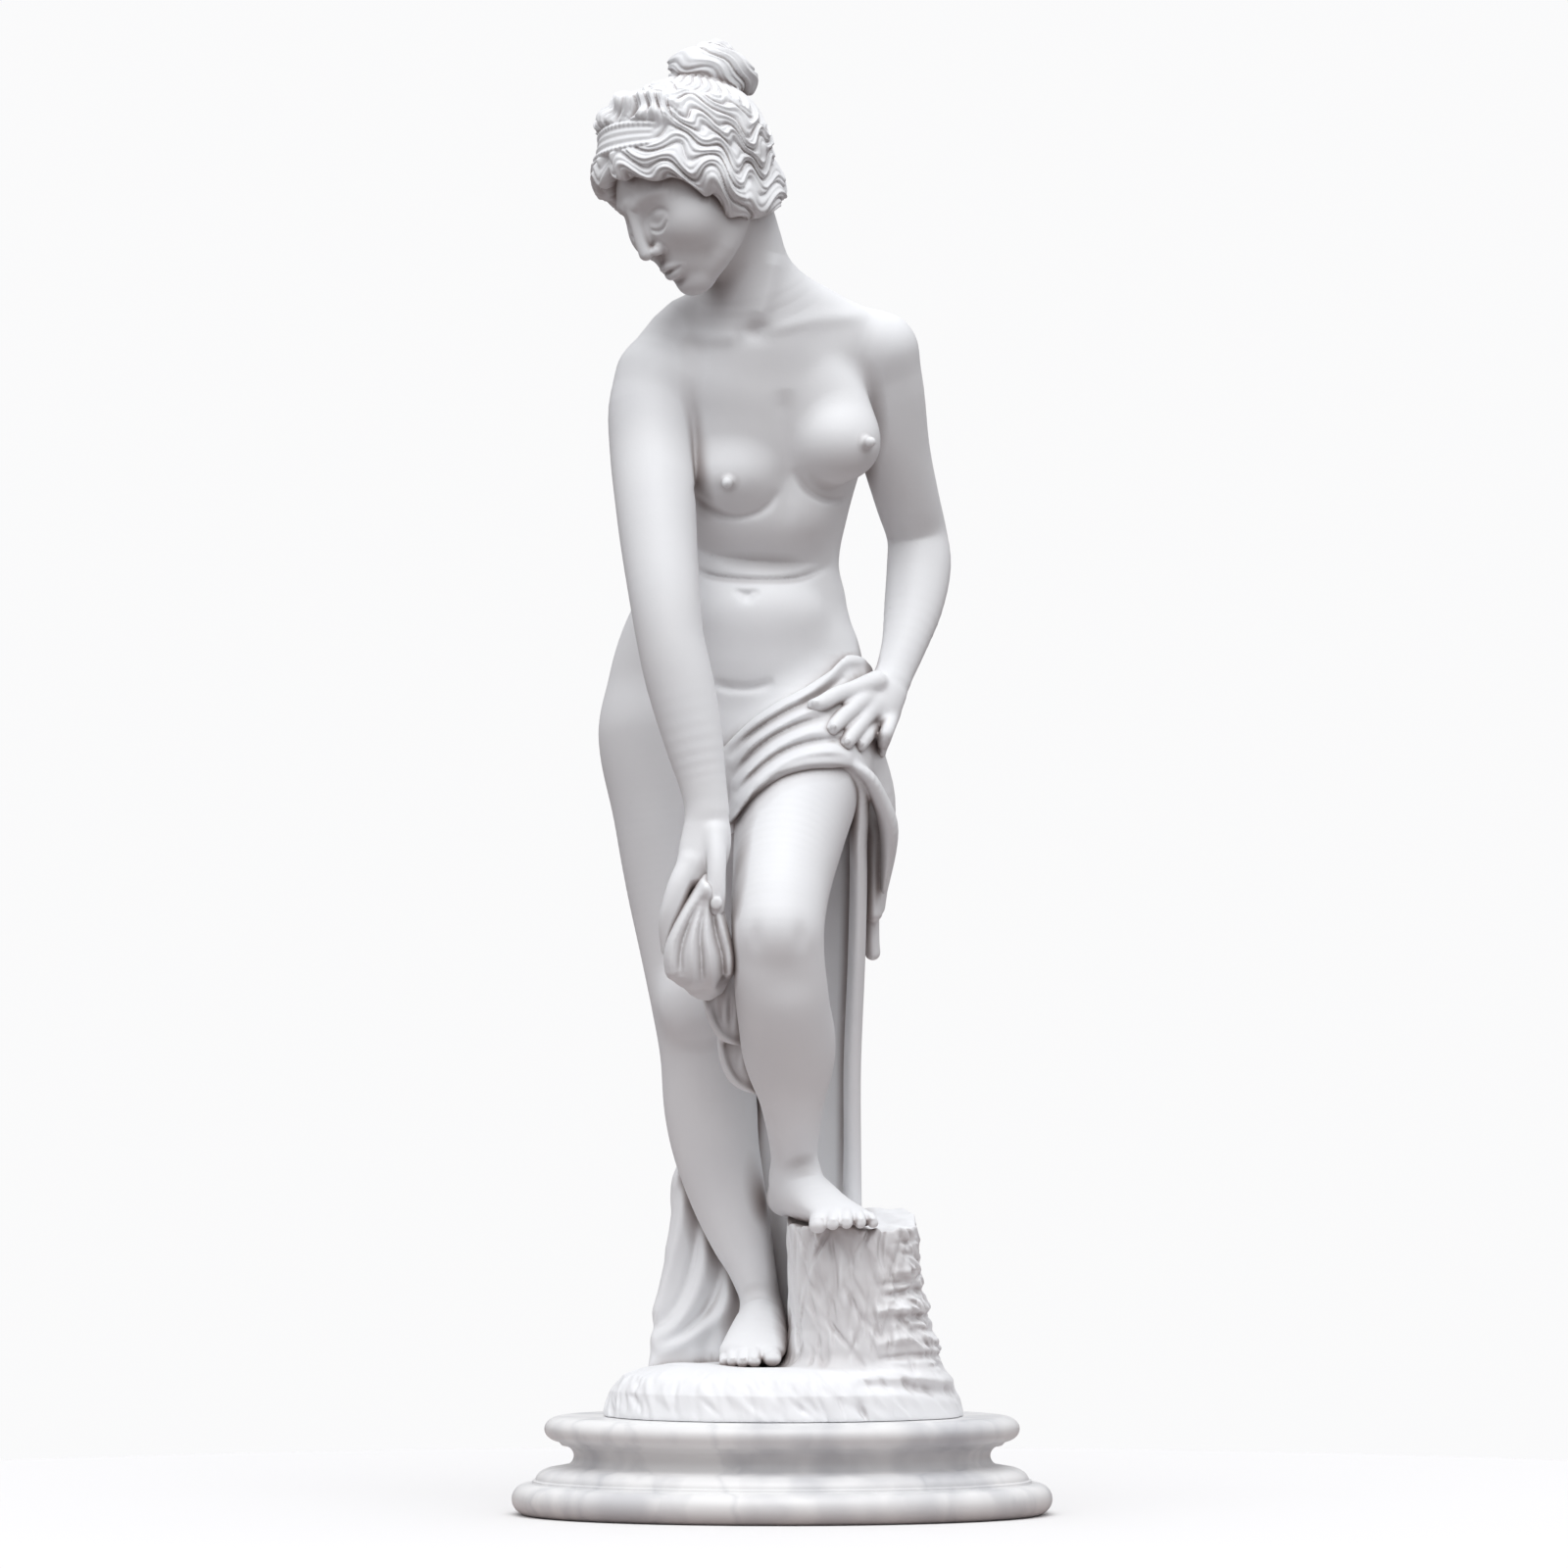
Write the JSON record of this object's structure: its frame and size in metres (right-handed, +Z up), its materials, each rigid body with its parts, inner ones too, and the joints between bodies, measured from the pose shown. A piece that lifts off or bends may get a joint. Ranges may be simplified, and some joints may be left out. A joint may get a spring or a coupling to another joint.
{
  "type": "marble statue",
  "caption": "Marble statue of a bather drying her knee, one hand on her draped hip, beside a tree stump, on a moulded oval plinth",
  "frame": {"origin": "centre of the plinth's underside, on the surface the statue stands on", "axes": "+Z is up along the figure; the figure faces -Y, towards the viewer of the picture; +X is the viewer's right"},
  "size_m": [0.3312, 0.274, 0.9036],
  "materials": {
    "white_marble": "satin",
    "veined_marble": "satin"
  },
  "bodies": {
    "root": {"statue": "white_marble", "plinth": "veined_marble"}
  },
  "joints": []
}
